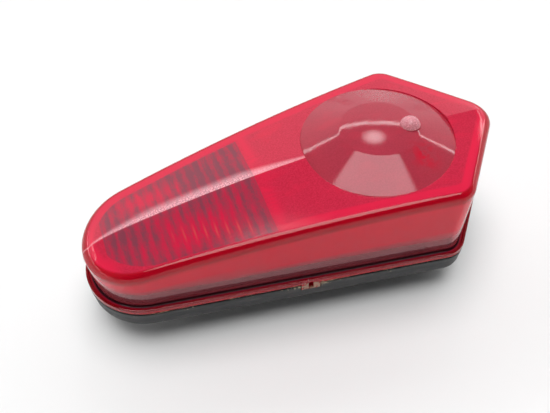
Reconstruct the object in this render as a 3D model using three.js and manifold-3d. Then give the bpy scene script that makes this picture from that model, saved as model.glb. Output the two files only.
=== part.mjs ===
// Tail light of an off-road vehicle: a deep red lens welded to a shallow black housing, with a
// twin-filament bayonet bulb in a twist-in socket, carried on three studs in rubber isolators.
// Millimetres, +Z out of the lens, +X along the lamp from its round nose to its pointed tail.
// Inside this file z = 0 is the foot of the lens wall; the last lines move the lamp so that its
// origin is the middle of its footprint on the surface it stands on.
import * as THREE from 'three';
import { mergeVertices } from 'three/addons/utils/BufferGeometryUtils.js';
import Module from 'manifold-3d';

const wasm = await Module();
wasm.setup();

// ---- Driving dimensions ----------------------------------------------------------------------

// Plan outline: the hull of a nose disc, two shoulder discs and a tail disc.
const NOSE = { x: 25, y: 0, r: 25 };
const SHOULDER = { x: 149.6, y: 32.8, r: 10 };
const TAIL = { x: 172.5, y: 0, r: 13.5 };
const LENGTH = TAIL.x + TAIL.r;

// Lens heights along the lamp: value at the nose, value at the tail, and the bow in the middle.
const EDGE = [17.3, 35.5, 5.8];
const CROWN = [2.6, 1.1, 1.45];
const EDGE_RADIUS = 3.2;
const WALL_INSET = 1.2;
const LENS_WALL = 2.5;
const RIDGE_FROM = 11;
const RIDGE_TO = 181;

// Raised round window: a shallow cone with a domed top and a small round bead on it.
const BULB_X = 131.5;
const WINDOW = { foot: 33.2, top: 16.8, rise: 6.3, dome: 1.2, sunk: 1.4, z: 35.35, tilt: 0.029 };
const BEAD = { x: 144.5, y: -3.5, z: 41.3, r: 4.6 };

// Flutes inside the narrow part, and the cross wall that ends them.
const FLUTE = { from: 11, to: 75, pitch: 4.2, width: 2, depth: 1.3, margin: 7 };
const CROSS_WALL = { x: 80.5, thick: 1.6, depth: 6 };

// Lens flange, weld bead and housing.
const FLANGE_OUT = 1.6;
const FLANGE_UNDER = -2.5;
const RIM_TOP = -3.3;
const RIM_FOOT = -10.7;
const FLOOR_TOP = -10.5;
const FLOOR_UNDER = -12.7;
const COLLAR = { inner: 24.2, outer: 25.6, height: 3 };
const RIBS = { from: 50, to: 102, apart: 24, thick: 1.6, height: 4 };
const DRAIN = { x: 87.5, width: 8.5, drop: 3.6, thick: 2.4, slot: 2 };

// Socket, in the housing floor under the window.
const HOLE_R = 17;
const TAB = { r: 20.3, half: 20, at: [0, 120, 240] };
const STOP = { inner: 17.6, gap: 1, span: 7, height: 2.6 };
const NOTCH_TURN = 45;
const SHELL = { inner: 7.9, outer: 8.4, foot: -21.6, top: -0.5 };
const STRIP_TOP = -22.2;
const PLATE = { r: 7.5, foot: -18.3, top: -17.0 };
const CONTACT_Y = 3.2;
const PUSH = 2;

// Bulb, 27 mm glass on a 15 mm bayonet base with offset pins.
const BASE = { r: 7.6, foot: -14.5, top: 3.5 };
const PINS = [{ name: 'upper', angle: 90, z: -7.5 }, { name: 'lower', angle: 270, z: -10.5 }];
const PIN_R = 1;

// Fixing studs, M5, each with a rubber isolator, a washer and a nut.
const STUDS = [{ x: 40, y: 0 }, { x: 152, y: 29 }, { x: 152, y: -29 }];
const STUD_R = 2.5;
const PAD_UNDER = -13.5;
const SEAT = -16.5;
const SPIGOT_UNDER = -19;
const WASHER = { top: -19.3, under: -20.5, r: 7.5 };
const NUT = { flats: 8, height: 4 };
const STUD_END = -26;
const CLEAR = 0.3;

const rad = THREE.MathUtils.degToRad;

// ---- Solids ----------------------------------------------------------------------------------

// Volume enclosed by an indexed mesh; negative when its faces look inwards.
function signedVolume(geometry) {
  const p = geometry.attributes.position;
  const corner = [0, 1, 2].map(() => new THREE.Vector3());
  let sum = 0;
  for (let i = 0; i < geometry.index.count; i += 3) {
    corner.forEach((v, k) => v.fromBufferAttribute(p, geometry.index.getX(i + k)));
    sum += corner[0].dot(corner[1].clone().cross(corner[2])) / 6;
  }
  return sum;
}

// A closed geometry with merged corners, no degenerate triangles and its faces outwards.
function closed(geometry) {
  const bare = geometry.clone();
  bare.deleteAttribute('normal');
  bare.deleteAttribute('uv');
  const merged = mergeVertices(bare, 1e-4);
  const kept = [];
  for (let i = 0; i < merged.index.count; i += 3) {
    const [a, b, c] = [0, 1, 2].map((k) => merged.index.getX(i + k));
    if (a !== b && b !== c && c !== a) kept.push(a, b, c);
  }
  merged.setIndex(kept);
  if (signedVolume(merged) < 0) merged.setIndex(kept.reverse());
  return merged;
}

function toSolid(geometry) {
  const mesh = closed(geometry);
  return new wasm.Manifold(new wasm.Mesh({
    numProp: 3,
    vertProperties: Float32Array.from(mesh.attributes.position.array),
    triVerts: Uint32Array.from(mesh.index.array),
  }));
}

function fromSolid(solid) {
  const { vertProperties, triVerts } = solid.getMesh();
  const geometry = new THREE.BufferGeometry();
  geometry.setAttribute('position', new THREE.BufferAttribute(vertProperties, 3));
  geometry.setIndex(new THREE.BufferAttribute(triVerts, 1));
  return geometry;
}

// The first geometry with some joined to it and others cut from it.
function build(first, joined, removed) {
  let solid = toSolid(first);
  for (const piece of joined) solid = solid.add(toSolid(piece));
  for (const piece of removed) solid = solid.subtract(toSolid(piece));
  return fromSolid(solid);
}

// ---- Shapes ----------------------------------------------------------------------------------

// A solid of revolution about +Z; the profile is a list of [radius, z] and closes on itself.
function lathe(profile, segments = 40) {
  const points = [...profile, profile[0]].map(([r, z]) => new THREE.Vector2(r, z));
  return closed(new THREE.LatheGeometry(points, segments).rotateX(Math.PI / 2));
}

const cylinder = (r, low, high, segments) => lathe([[0, low], [r, low], [r, high], [0, high]], segments);

function tube(inner, outer, low, high, segments) {
  return lathe([[inner, low], [outer, low], [outer, high], [inner, high]], segments);
}

function box(x0, x1, y0, y1, z0, z1) {
  const geometry = new THREE.BoxGeometry(x1 - x0, y1 - y0, z1 - z0);
  return geometry.translate((x0 + x1) / 2, (y0 + y1) / 2, (z0 + z1) / 2);
}

// A plan shape carried from one height to another.
function prism(points, low, high) {
  const shape = new THREE.Shape(points.map(([x, y]) => new THREE.Vector2(x, y)));
  return new THREE.ExtrudeGeometry(shape, { depth: high - low, bevelEnabled: false }).translate(0, 0, low);
}

// A side shape in x and z carried across y.
function strip(points, y0, y1) {
  return prism(points.map(([x, z]) => [x, z]), 0, y1 - y0).rotateX(Math.PI / 2).translate(0, y1, 0);
}

// Part of a ring between two angles, in degrees.
function sector(inner, outer, from, to, low, high) {
  const steps = Math.max(2, Math.round((to - from) / 8));
  const arc = (r) => Array.from({ length: steps + 1 }, (_, i) => {
    const a = rad(from + ((to - from) * i) / steps);
    return [r * Math.cos(a), r * Math.sin(a)];
  });
  return prism([...arc(outer), ...arc(inner).reverse()], low, high);
}

// A round wire along a curve.
function wire(curve, r, steps, sides) {
  const shape = new THREE.Shape(Array.from({ length: sides }, (_, i) => {
    const a = (2 * Math.PI * i) / sides;
    return new THREE.Vector2(r * Math.cos(a), r * Math.sin(a));
  }));
  return closed(new THREE.ExtrudeGeometry(shape, { steps, extrudePath: curve, bevelEnabled: false }));
}

class Helix extends THREE.Curve {
  constructor(radius, height, turns) {
    super();
    Object.assign(this, { radius, height, turns });
  }

  getPoint(t, target = new THREE.Vector3()) {
    const a = 2 * Math.PI * this.turns * t;
    return target.set(this.radius * Math.cos(a), this.radius * Math.sin(a), this.height * t);
  }
}

// ---- The lamp's outline and its lofted shells --------------------------------------------------

// Direction of the outer normal of the line that touches two discs.
function tangentAngle(a, b) {
  const dx = b.x - a.x;
  const dy = b.y - a.y;
  return Math.atan2(dy, dx) + Math.acos((a.r - b.r) / Math.hypot(dx, dy));
}

const FLANK_NORMAL = tangentAngle(NOSE, SHOULDER);
const TAIL_NORMAL = tangentAngle(SHOULDER, TAIL);

function discPoint(disc, offset, angle) {
  return [disc.x + (disc.r + offset) * Math.cos(angle), disc.y + (disc.r + offset) * Math.sin(angle)];
}

function between(a, b, steps, place) {
  return Array.from({ length: steps }, (_, i) => place(a + ((b - a) * i) / steps));
}

// One half of the outline, nose to tail, moved outwards by offset.
function halfOutline(offset) {
  const arc = (disc, from, to, steps) => between(from, to, steps, (a) => discPoint(disc, offset, a));
  const line = (from, to, steps) => between(0, 1, steps, (t) => from.map((v, k) => v + (to[k] - v) * t));
  const flankEnd = discPoint(SHOULDER, offset, FLANK_NORMAL);
  const tailEnd = discPoint(TAIL, offset, TAIL_NORMAL);
  return [
    ...arc(NOSE, Math.PI, FLANK_NORMAL, 8),
    ...line(discPoint(NOSE, offset, FLANK_NORMAL), flankEnd, 6),
    ...arc(SHOULDER, FLANK_NORMAL, Math.PI / 2, 1),
    ...arc(SHOULDER, Math.PI / 2, TAIL_NORMAL, 3),
    ...line(discPoint(SHOULDER, offset, TAIL_NORMAL), tailEnd, 2),
    ...arc(TAIL, TAIL_NORMAL, 0, 3),
    [TAIL.x + TAIL.r + offset, 0],
  ].map(([x, y], i) => [x, i === 0 ? 0 : y]);
}

// Both halves as one loop.
function wholeLoop(half) {
  return [...half, ...half.slice(1, -1).reverse().map(([x, y, z]) => [x, -y, z])];
}

function bowed([nose, tail, bow], x) {
  const t = x / LENGTH;
  return nose + (tail - nose) * t + 4 * bow * t * (1 - t);
}

const edgeHeight = (x) => bowed(EDGE, x);
const ridgeHeight = (x) => bowed(EDGE, x) + bowed(CROWN, x);

function ring(offset, height) {
  return wholeLoop(halfOutline(offset).map(([x, y]) => [x, y, height(x)]));
}

// The roof's crest: the two halves of this ring lie on each other.
function ridgeRing(drop) {
  return wholeLoop(halfOutline(0).map(([x]) => {
    const along = RIDGE_FROM + (x / LENGTH) * (RIDGE_TO - RIDGE_FROM);
    return [along, 0, ridgeHeight(along) - drop];
  }));
}

// Skin over a pile of rings, with flat ends where the first and last rings are open.
function loft(rings) {
  const count = rings[0].length;
  const half = count / 2;
  const index = [];
  for (let k = 0; k + 1 < rings.length; k += 1) {
    for (let i = 0; i < count; i += 1) {
      const [a, b] = [k * count + i, k * count + ((i + 1) % count)];
      index.push(a, a + count, b, b, a + count, b + count);
    }
  }
  for (const [start, flip] of [[0, false], [(rings.length - 1) * count, true]]) {
    for (let i = 0; i < half; i += 1) {
      const [a, b] = [start + i, start + i + 1];
      const [c, d] = [start + ((count - i) % count), start + count - i - 1];
      for (const [p, q, r] of [[a, b, c], [b, d, c]]) index.push(...(flip ? [p, r, q] : [p, q, r]));
    }
  }
  const geometry = new THREE.BufferGeometry();
  geometry.setAttribute('position', new THREE.Float32BufferAttribute(rings.flat(2), 3));
  geometry.setIndex(index);
  return closed(geometry);
}

const level = (z) => () => z;
const belowEdge = (drop) => (x) => edgeHeight(x) - drop;

function halfWidth(x) {
  const half = halfOutline(0);
  const i = half.findIndex(([px]) => px >= x);
  const [[x0, y0], [x1, y1]] = [half[i - 1], half[i]];
  return y0 + ((y1 - y0) * (x - x0)) / (x1 - x0);
}

// Onto the near flank: x along the flank from the given station, y outwards from the wall foot.
function onFlank(geometry, x) {
  const slope = Math.PI / 2 - FLANK_NORMAL;
  return geometry.rotateZ(slope).translate(x, -halfWidth(x), 0);
}

const window3d = (geometry) => geometry.rotateY(-WINDOW.tilt).translate(BULB_X, 0, WINDOW.z);
const atBulb = (geometry) => geometry.translate(BULB_X, 0, 0);

// ---- Lens ------------------------------------------------------------------------------------

// Outside: a flange with a drip groove, an upright wall, a rolled top edge and a two-sided roof.
function lensOutside() {
  const roll = [0, 45, 90].map((a) => ring(
    -EDGE_RADIUS * (1 - Math.cos(rad(a))),
    belowEdge(EDGE_RADIUS * (1 - Math.sin(rad(a)))),
  ));
  return loft([
    ring(FLANGE_OUT, level(FLANGE_UNDER)),
    ring(FLANGE_OUT, level(-0.3)),
    ring(FLANGE_OUT - 0.3, level(0)),
    ring(0.4, level(0)),
    ring(0.2, level(-1)),
    ring(-WALL_INSET + 0.2, level(-1)),
    ring(-WALL_INSET, level(0.2)),
    ...roll,
    ridgeRing(0),
  ]);
}

// Inside: the outside moved in by the wall.
function lensInside() {
  const inset = WALL_INSET + LENS_WALL;
  return loft([
    ring(-inset, level(FLANGE_UNDER - 1)),
    ring(-inset, belowEdge(7)),
    ring(-inset - 2.4, belowEdge(LENS_WALL)),
    ridgeRing(LENS_WALL),
  ]);
}

// The window: a shallow cone with a domed top, on a foot sunk into the roof.
function windowCone() {
  const { foot, top, rise, dome, sunk } = WINDOW;
  const domed = [0.5, 0].map((t) => [top * t, rise + dome * (1 - t * t)]);
  return lathe([[0, -sunk], [foot, -sunk], [foot, 0], [top, rise], ...domed], 44);
}

// The hollow under the window, one lens wall below its skin.
function windowHollow() {
  const { foot, top, rise, dome, sunk } = WINDOW;
  const under = rise - LENS_WALL;
  return lathe([[0, -9], [foot - 4, -9], [foot - 4, 0.2 - sunk], [top - 1, under], [0, under + dome]], 32);
}

function lensGeometry() {
  const pocket = window3d(cylinder(WINDOW.foot, 0, 12, 44));
  const bead = new THREE.SphereGeometry(BEAD.r, 16, 10).translate(BEAD.x, BEAD.y, BEAD.z);
  const tab = box(-DRAIN.width / 2, DRAIN.width / 2, -FLANGE_OUT, -FLANGE_OUT + DRAIN.thick,
    FLANGE_UNDER - DRAIN.drop, FLANGE_UNDER + 1);
  const slot = box(-DRAIN.slot / 2, DRAIN.slot / 2, -6, 6, FLANGE_UNDER - 2.4, FLANGE_UNDER + 0.6);

  const inside = toSolid(lensInside());
  const lowered = inside.translate([0, 0, -FLUTE.depth]);
  const deep = inside.translate([0, 0, -CROSS_WALL.depth]);
  let cavity = inside;
  for (let x = FLUTE.from; x <= FLUTE.to; x += FLUTE.pitch) {
    const reach = halfWidth(x) - FLUTE.margin;
    const bar = toSolid(box(x - FLUTE.width / 2, x + FLUTE.width / 2, -reach, reach, 0, 60));
    cavity = cavity.subtract(bar.subtract(lowered));
  }
  const half = CROSS_WALL.thick / 2;
  const wall = toSolid(box(CROSS_WALL.x - half, CROSS_WALL.x + half, -60, 60, 8, 60));
  cavity = cavity.subtract(wall.subtract(deep)).add(toSolid(window3d(windowHollow())));

  const outside = toSolid(lensOutside()).subtract(toSolid(pocket)).add(toSolid(window3d(windowCone())))
    .add(toSolid(bead)).add(toSolid(onFlank(tab, DRAIN.x)));
  return fromSolid(outside.subtract(cavity).subtract(toSolid(onFlank(slot, DRAIN.x))));
}

// ---- Housing and weld bead ---------------------------------------------------------------------

// Band of weld flash and sealant squeezed between the lens flange and the housing rim.
function weldBeadGeometry() {
  const outer = loft([ring(1.2, level(RIM_TOP)), ring(1.2, level(FLANGE_UNDER))]);
  const inner = loft([ring(-0.8, level(RIM_TOP - 1)), ring(-0.8, level(FLANGE_UNDER + 1))]);
  const gap = box(-DRAIN.width / 2 - CLEAR, DRAIN.width / 2 + CLEAR, -5, 5, RIM_TOP - 1, FLANGE_UNDER + 1);
  return build(outer, [], [inner, onFlank(gap, DRAIN.x)]);
}

function housingGeometry() {
  const shell = loft([
    ring(-2, level(FLOOR_UNDER)),
    ring(0, level(FLOOR_UNDER + 0.6)),
    ring(0.9, level(RIM_FOOT)),
    ring(FLANGE_OUT, level(RIM_TOP)),
  ]);
  const hollow = loft([
    ring(-3.5, level(FLOOR_TOP)),
    ring(-1.8, level(FLOOR_TOP + 1.2)),
    ring(-1, level(RIM_TOP + 1)),
  ]);
  const pads = STUDS.map(({ x, y }) => cylinder(8, PAD_UNDER, FLOOR_UNDER + 1, 20).translate(x, y, 0));
  const collar = atBulb(tube(COLLAR.inner, COLLAR.outer, FLOOR_TOP - 1, FLOOR_TOP + COLLAR.height, 36));
  const ribs = [-RIBS.apart / 2, RIBS.apart / 2].map((y) => box(
    RIBS.from, RIBS.to, y - RIBS.thick / 2, y + RIBS.thick / 2, FLOOR_TOP - 1, FLOOR_TOP + RIBS.height,
  ));
  const stops = TAB.at.map((a) => a - TAB.half - STOP.gap).map((a) => atBulb(sector(
    STOP.inner, TAB.r, a - STOP.span, a, FLOOR_TOP - 1, FLOOR_TOP + STOP.height,
  )));
  const hole = atBulb(cylinder(HOLE_R, FLOOR_UNDER - 1, FLOOR_TOP + 4, 36));
  const notches = TAB.at.map((a) => atBulb(sector(
    HOLE_R - 2, TAB.r + 0.5, a + NOTCH_TURN - TAB.half - 2, a + NOTCH_TURN + TAB.half + 2,
    FLOOR_UNDER - 1, FLOOR_TOP + 1,
  )));
  const bores = STUDS.map(({ x, y }) => cylinder(STUD_R + CLEAR, PAD_UNDER - 1, 0, 20).translate(x, y, 0));
  const drain = box(-DRAIN.width / 2 - CLEAR, DRAIN.width / 2 + CLEAR, -6, 4,
    FLANGE_UNDER - DRAIN.drop - CLEAR, 0);
  return fromSolid(
    [...pads, collar, ...ribs, ...stops].reduce(
      (solid, piece) => solid.add(toSolid(piece)),
      toSolid(shell).subtract(toSolid(hollow)),
    ).subtract([hole, ...notches, ...bores, onFlank(drain, DRAIN.x)].map(toSolid)
      .reduce((a, b) => a.add(b))),
  );
}

// ---- Reflector ---------------------------------------------------------------------------------

// Metallised dish round the bulb, on a skirt that stands inside the housing's collar.
function reflectorGeometry() {
  const [inner, outer, low, high, thick] = [14.6, 32, -3.5, 15.5, 1.6];
  const dish = (r) => low + ((high - low) * (r * r - inner * inner)) / (outer * outer - inner * inner);
  const radii = [inner, 18.5, 22.6, 23.8, 28, outer];
  const face = radii.map((r) => [r, dish(r)]);
  const back = radii.map((r) => [r, dish(r) - thick]);
  const skirt = [[23.8, FLOOR_TOP + CLEAR], [22.6, FLOOR_TOP + CLEAR]];
  return atBulb(lathe([
    ...face, [33.2, high], [33.2, high - 1.2],
    ...back.slice(3).reverse(), ...skirt, ...back.slice(0, 3).reverse(),
  ], 36));
}

// ---- Bulb --------------------------------------------------------------------------------------

function bulbGlassGeometry() {
  const outside = [[6.9, -2], [6.9, 5.5], [9.2, 9.5], [12.1, 14], [13.3, 20], [12.2, 27],
    [8.2, 33.4], [0, 36.5]];
  const inside = [[0, 35.9], [7.8, 32.9], [11.6, 26.8], [12.7, 20], [11.5, 14.3],
    [8.6, 9.9], [6.3, 5.8], [6.3, -2]];
  return lathe([...outside, ...inside], 24);
}

const bulbBaseGeometry = () => lathe([
  [7.2, BASE.top], [BASE.r, BASE.top], [BASE.r, BASE.foot], [6.6, BASE.foot], [6.6, BASE.foot + 0.5],
  [7.2, BASE.foot + 0.9],
], 24);

function bulbPinGeometry({ angle, z }) {
  return cylinder(PIN_R, BASE.r + 0.1, BASE.r + 1.3, 12).rotateY(Math.PI / 2).rotateZ(rad(angle)).translate(0, 0, z);
}

function leadWireGeometry(side, reach, top) {
  const path = new THREE.CatmullRomCurve3([
    new THREE.Vector3(side * 1.2, 0, 8), new THREE.Vector3(side * 1.2, 0, 10),
    new THREE.Vector3(side * reach, 0, 13), new THREE.Vector3(side * reach, 0, top),
  ]);
  return wire(path, 0.3, 10, 6);
}

function filamentGeometry(span, z) {
  const coil = wire(new Helix(0.7, span - 1.2, 5), 0.2, 35, 3);
  return coil.rotateY(Math.PI / 2).translate(-(span - 1.2) / 2, 0, z);
}

// ---- Socket ------------------------------------------------------------------------------------

const SHROUD = { from: -27, wall: -13.5, half: 7.6, low: -24.4, high: -16.4, skin: 1.5 };

// Flat brass strips from the plug shroud to the springs; the middle one presses on the shell.
const LIVE_STRIP = [[-20.5, -19.9], [-9.7, -19.9], [-9.7, STRIP_TOP], [2.5, STRIP_TOP], [2.5, -23],
  [-10.5, -23], [-10.5, -20.7], [-20.5, -20.7]];
const EARTH_STRIP = [[-20.5, -19.9], [-9, -19.9], [-9, -16.6], [-8.5, -16.6], [-8.5, -20.7], [-20.5, -20.7]];

const TERMINALS = [
  { name: 'terminal_tail', points: LIVE_STRIP, y: -CONTACT_Y - 0.4, half: 1.1 },
  { name: 'terminal_earth', points: EARTH_STRIP, y: 0, half: 0.9 },
  { name: 'terminal_stop', points: LIVE_STRIP, y: CONTACT_Y + 0.4, half: 1.1 },
];

const terminalGeometry = ({ points, y, half }) => strip(points, y - half, y + half);

function socketBodyGeometry() {
  const body = lathe([
    [0, -24.4], [11.3, -24.4], [12.3, -23.4], [12.3, -16.4], [21, -16.4], [21, -13.8], [16.6, -13.8],
    [16.6, -7.4], [9.6, -7.4], [9.6, -14.6], [SHELL.outer + CLEAR, -14.6], [SHELL.outer + CLEAR, -23],
    [0, -23],
  ], 36);
  const tabs = TAB.at.map((a) => sector(16, TAB.r, a - TAB.half, a + TAB.half, -10.2, -7.7));
  const grips = [-60, 0, 60].map((a) => sector(11.8, 14.6, a - 7, a + 7, -23.4, -16));
  const { from, wall, half, low, high, skin } = SHROUD;
  const shroud = box(from, -11.2, -half, half, low, high + 0.2);
  const mouth = box(from - 1, wall, -half + skin, half - skin, low + skin, high - skin + 0.2);
  const latch = box(from + 2, from + 5.5, -2, 2, high, high + 1.2);
  return build(body, [...tabs, ...grips, shroud, latch], [mouth, ...TERMINALS.map(terminalGeometry)]);
}

// Thin metal sleeve with a hooked slot for each bulb pin.
function socketShellGeometry() {
  const sleeve = tube(SHELL.inner, SHELL.outer, SHELL.foot, SHELL.top, 36);
  const half = 10;
  const turn = 24;
  const slots = PINS.flatMap(({ angle, z }) => {
    const low = z - PUSH - PIN_R - CLEAR;
    return [
      sector(7, 9.4, angle + turn - half, angle + turn + half, low, SHELL.top + 1),
      sector(7, 9.4, angle - half, angle + turn + half, low, z - 0.7),
      sector(7, 9.4, angle - half, angle + half, low, z + PIN_R + CLEAR),
    ];
  });
  return build(sleeve, [], slots);
}

function contactPlateGeometry() {
  const holes = [-1, 1].map((s) => cylinder(0.9 + 0.1, PLATE.foot - 1, PLATE.top + 1, 12)
    .translate(0, s * CONTACT_Y, 0));
  return build(cylinder(PLATE.r, PLATE.foot, PLATE.top, 24), [], holes);
}

const contactRivetGeometry = () => lathe([
  [0, PLATE.foot - 1], [0.9, PLATE.foot - 1], [0.9, PLATE.top], [1.7, PLATE.top], [1.5, -16.05], [0, -16.05],
], 12);

const contactSpringGeometry = () => wire(
  new Helix(1.9, PLATE.foot - STRIP_TOP - 0.8, 3), 0.3, 27, 5,
).translate(0, 0, STRIP_TOP + 0.4);

// ---- Fixings -----------------------------------------------------------------------------------

const studGeometry = () => lathe([
  [0, STUD_END], [STUD_R - 0.4, STUD_END], [STUD_R, STUD_END + 0.4], [STUD_R, FLOOR_TOP],
  [5.5, FLOOR_TOP], [5.5, FLOOR_TOP + 2], [5, FLOOR_TOP + 2.5], [0, FLOOR_TOP + 2.5],
], 16);

const isolatorGeometry = () => lathe([
  [STUD_R + CLEAR, PAD_UNDER], [8, PAD_UNDER], [8, SEAT], [5.5, SEAT], [5.5, SPIGOT_UNDER],
  [STUD_R + CLEAR, SPIGOT_UNDER],
], 20);

const washerGeometry = () => tube(STUD_R + CLEAR, WASHER.r, WASHER.under, WASHER.top, 20);

function nutGeometry() {
  const corner = NUT.flats / 2 / Math.cos(Math.PI / 6);
  const hexagon = Array.from({ length: 6 }, (_, i) => {
    const a = (Math.PI * i) / 3;
    return [corner * Math.cos(a), corner * Math.sin(a)];
  });
  const block = prism(hexagon, WASHER.under - NUT.height, WASHER.under);
  return build(block, [], [cylinder(STUD_R + CLEAR, WASHER.under - NUT.height - 1, WASHER.under + 1, 20)]);
}

// ---- Materials and assembly --------------------------------------------------------------------

const metal = (color, roughness) => new THREE.MeshStandardMaterial({ color, roughness, metalness: 1 });
const plain = (color, roughness) => new THREE.MeshStandardMaterial({ color, roughness, metalness: 0 });

const redLens = plain(0xc01028, 0.12);
const blackPlastic = plain(0x2c2f31, 0.55);
const greyPlastic = plain(0x55585a, 0.5);
const sealant = plain(0xa98d62, 0.8);
const rubber = plain(0x161616, 0.85);
const mirror = metal(0xd8d8da, 0.12);
const glass = plain(0xeef2f2, 0.05);
const brass = metal(0xb5934c, 0.3);
const steel = metal(0xa9adb0, 0.35);
const solder = metal(0x8f9194, 0.45);
const bakelite = plain(0x6b4326, 0.6);

function part(name, geometry, material) {
  const mesh = new THREE.Mesh(geometry, material);
  mesh.name = name;
  return mesh;
}

// The bulb on its own axis.
function bulbGroup() {
  const group = new THREE.Group();
  const contact = lathe([[0, -16], [0.9, -16], [1.6, -15.5], [1.6, -15], [0, -15]], 12);
  group.add(
    part('bulb_glass', bulbGlassGeometry(), glass),
    part('bulb_stem', lathe([[0, -1], [5.4, -1], [3, 3], [2.4, 8], [0, 8]], 20), glass),
    part('bulb_base', bulbBaseGeometry(), brass),
    part('bulb_insulator', cylinder(6.3, -15, -12.8, 24), blackPlastic),
    part('bulb_contact_tail', contact.clone().translate(0, -CONTACT_Y, 0), solder),
    part('bulb_contact_stop', contact.clone().translate(0, CONTACT_Y, 0), solder),
    part('lead_wire_tail', leadWireGeometry(-1, 3.6, 21), steel),
    part('lead_wire_stop', leadWireGeometry(1, 3.6, 21), steel),
    part('filament_tail', filamentGeometry(6.6, 16), steel),
    part('filament_stop', filamentGeometry(6.6, 20), steel),
    ...PINS.map((pin) => part(`bulb_pin_${pin.name}`, bulbPinGeometry(pin), brass)),
  );
  return group;
}

// The twist-in socket on its own axis, with the bulb in it.
function socketGroup() {
  const group = new THREE.Group();
  group.position.x = BULB_X;
  group.add(
    part('socket_body', socketBodyGeometry(), greyPlastic),
    part('socket_gasket', tube(17.2, 20.8, -13.8, -12.8, 28), rubber),
    part('socket_shell', socketShellGeometry(), steel),
    part('contact_plate', contactPlateGeometry(), bakelite),
    ...TERMINALS.map((terminal) => part(terminal.name, terminalGeometry(terminal), brass)),
    bulbGroup(),
  );
  for (const [name, side] of [['tail', -1], ['stop', 1]]) {
    const shift = side * CONTACT_Y;
    group.add(
      part(`contact_rivet_${name}`, contactRivetGeometry().translate(0, shift, 0), brass),
      part(`contact_spring_${name}`, contactSpringGeometry().translate(0, shift, 0), steel),
    );
  }
  return group;
}

// One stud with the rubber, washer and nut that go on it.
function fixingGroup({ x, y }, number) {
  const group = new THREE.Group();
  group.position.set(x, y, 0);
  group.add(
    part(`stud_${number}`, studGeometry(), steel),
    part(`isolator_${number}`, isolatorGeometry(), rubber),
    part(`washer_${number}`, washerGeometry(), steel),
    part(`nut_${number}`, nutGeometry(), steel),
  );
  return group;
}

const lamp = new THREE.Group();
lamp.position.set(-LENGTH / 2, 0, -STUD_END);
lamp.add(
  part('lens', lensGeometry(), redLens),
  part('weld_bead', weldBeadGeometry(), sealant),
  part('rear_housing', housingGeometry(), blackPlastic),
  part('reflector', reflectorGeometry(), mirror),
  socketGroup(),
  ...STUDS.map((stud, i) => fixingGroup(stud, i + 1)),
);

export default lamp;
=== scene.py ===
"""Looks of the tail light: a red lens welded to a black housing, with its bulb, socket and fixings."""

import math

import bmesh
import bpy
import numpy as np
from mathutils import Matrix, Vector


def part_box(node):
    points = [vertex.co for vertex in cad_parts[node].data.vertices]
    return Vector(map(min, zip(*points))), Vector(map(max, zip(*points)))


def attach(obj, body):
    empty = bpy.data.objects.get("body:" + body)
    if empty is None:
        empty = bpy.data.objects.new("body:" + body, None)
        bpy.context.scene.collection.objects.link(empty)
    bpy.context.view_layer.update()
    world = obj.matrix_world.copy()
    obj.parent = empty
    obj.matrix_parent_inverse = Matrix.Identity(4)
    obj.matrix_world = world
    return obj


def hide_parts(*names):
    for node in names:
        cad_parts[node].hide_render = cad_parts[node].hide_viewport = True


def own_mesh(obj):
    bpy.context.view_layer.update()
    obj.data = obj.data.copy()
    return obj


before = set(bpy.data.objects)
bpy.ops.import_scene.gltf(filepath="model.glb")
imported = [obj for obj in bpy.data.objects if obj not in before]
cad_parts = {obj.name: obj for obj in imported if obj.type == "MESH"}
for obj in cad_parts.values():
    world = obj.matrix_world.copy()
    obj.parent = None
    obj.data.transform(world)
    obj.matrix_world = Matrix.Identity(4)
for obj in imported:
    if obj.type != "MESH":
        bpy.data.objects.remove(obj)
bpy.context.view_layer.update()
scene = bpy.context.scene


# ---- Camera ----
# A portrait lens on a stand, a little over a quarter of a metre from the lamp and looking down
# on its near flank.

LOOK_AT = Vector((-0.011538, -0.007801, 0.046))
DISTANCE = 0.289236
SWING, HEIGHT, LEAN = -0.347896, 0.850423, -0.014201

back = Vector((
    math.sin(SWING) * math.cos(HEIGHT), -math.cos(SWING) * math.cos(HEIGHT), math.sin(HEIGHT)
))
right = Vector((math.cos(SWING), math.sin(SWING), 0))
up = back.cross(right)
right, up = (
    right * math.cos(LEAN) + up * math.sin(LEAN),
    up * math.cos(LEAN) - right * math.sin(LEAN),
)
camera_data = bpy.data.cameras.new("camera")
camera_data.sensor_width = 36
camera_data.lens = 44.65
camera_data.clip_start = 0.01
camera = bpy.data.objects.new("camera", camera_data)
camera.matrix_world = Matrix.Translation(LOOK_AT + back * DISTANCE) @ Matrix(
    (right, up, back)
).transposed().to_4x4()
scene.collection.objects.link(camera)
scene.camera = camera
scene.view_settings.view_transform = "Standard"


# ---- Light tent and floor ----
# A white sweep behind the lamp, a narrow strip light over its top edge, a soft box overhead and
# a darker room on the camera's side; the lamp stands on a matt white board whose far edge bends
# up. The board is a flat disc with an arc of a circle carried round its rim.

world = bpy.data.worlds.new("light_tent")
scene.world = world
world.use_nodes = True
tent = world.node_tree
away = Vector((-back.x, -back.y, 0)).normalized()

BAR_SIDE = Matrix.Rotation(math.radians(10), 3, "Z") @ away
BRIGHTEST = 12.0


def combined(made, operation, a, b=0.0):
    """One step of arithmetic on sockets or numbers, in the nodes of a finish or of the world."""
    node = made.node_tree.nodes.new("ShaderNodeMath")
    node.operation = operation
    for socket, value in zip(node.inputs, (a, b)):
        if isinstance(value, float):
            socket.default_value = value
        else:
            made.node_tree.links.new(value, socket)
    return node.outputs[0]


direction = tent.nodes.new("ShaderNodeTexCoord").outputs["Generated"]


def towards(aim):
    """How nearly the light comes from the aim: the cosine of the angle between them."""
    node = tent.nodes.new("ShaderNodeVectorMath")
    node.operation = "DOT_PRODUCT"
    node.inputs[1].default_value = aim
    tent.links.new(direction, node.inputs[0])
    return node.outputs["Value"]


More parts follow.
